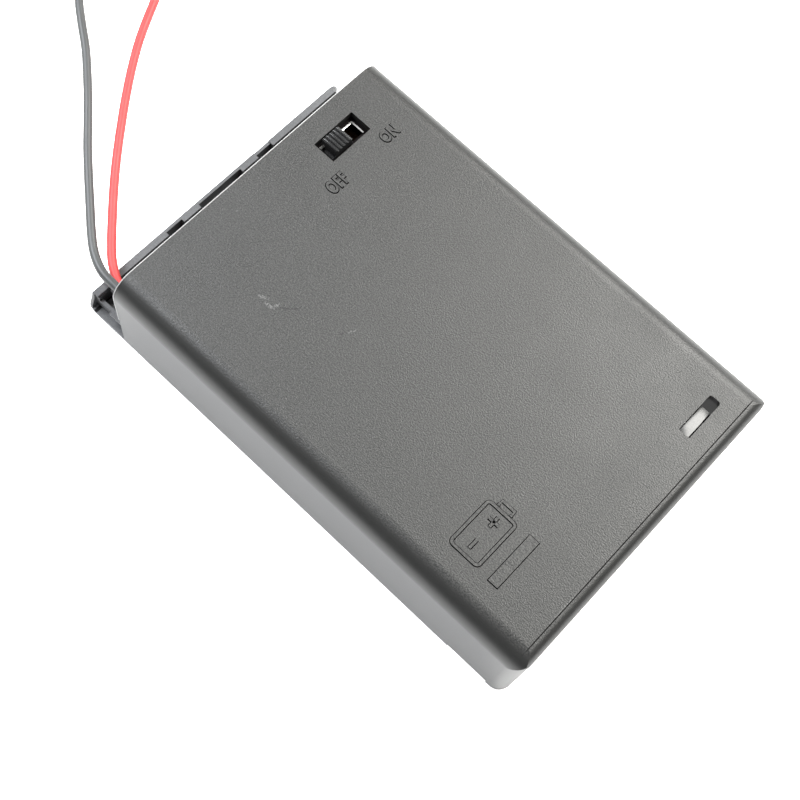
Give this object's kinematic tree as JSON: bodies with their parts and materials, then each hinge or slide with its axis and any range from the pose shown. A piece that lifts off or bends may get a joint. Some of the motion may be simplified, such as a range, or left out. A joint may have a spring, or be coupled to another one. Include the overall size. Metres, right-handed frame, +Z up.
{
  "type": "aa battery holder",
  "caption": "Enclosed AA battery holder in black plastic, with a sliding lid underneath, a slide switch on top and a red and a black lead at one end.",
  "frame": {"origin": "on the surface the holder stands on, under the middle of the body and its drawn-out lid; the leads are left out of that middle", "axes": "+X along the cells towards the closed end, +Y across the cells away from the side where the leads come out, +Z up through the flat top with the switch"},
  "size_m": [0.1353, 0.0728, 0.018],
  "materials": {
    "black_plastic": "finely textured black moulding",
    "spring_steel": "bright plated spring wire",
    "nickel_plate": "bright nickel-plated sheet steel",
    "board": "brown laminate board",
    "contact_brass": "springy bright brass strip",
    "tin": "tinned copper and solder",
    "red_insulation": "smooth soft red insulation",
    "black_insulation": "smooth soft black insulation"
  },
  "bodies": {
    "holder": {"body_shell": "black_plastic", "spring_near": "spring_steel", "spring_middle": "spring_steel", "spring_far": "spring_steel", "plate_near_negative": "nickel_plate", "plate_closed_link": "nickel_plate", "plate_wire_link": "nickel_plate", "plate_far_positive": "nickel_plate", "switch_frame": "nickel_plate", "switch_board": "board", "switch_terminals": "tin", "jumper_wire": "red_insulation", "red_lead_inside": "red_insulation", "black_lead_inside": "black_insulation", "solder_joints": "tin", "red_lead": "red_insulation", "black_lead": "black_insulation", "red_coil": "red_insulation", "black_coil": "black_insulation", "red_bare_end": "tin", "black_bare_end": "tin"},
    "lid": {"sliding_lid": "black_plastic"},
    "knob": {"switch_knob": "black_plastic", "switch_contact": "contact_brass"}
  },
  "joints": [
    {"name": "lid_slide", "type": "slide", "parent": "holder", "child": "lid", "axis": [-1, 0, 0], "range_m": [-0.0064, 0.062]},
    {"name": "switch_slide", "type": "slide", "parent": "holder", "child": "knob", "axis": [0, 1, 0], "range_m": [0, 0.0024]}
  ]
}
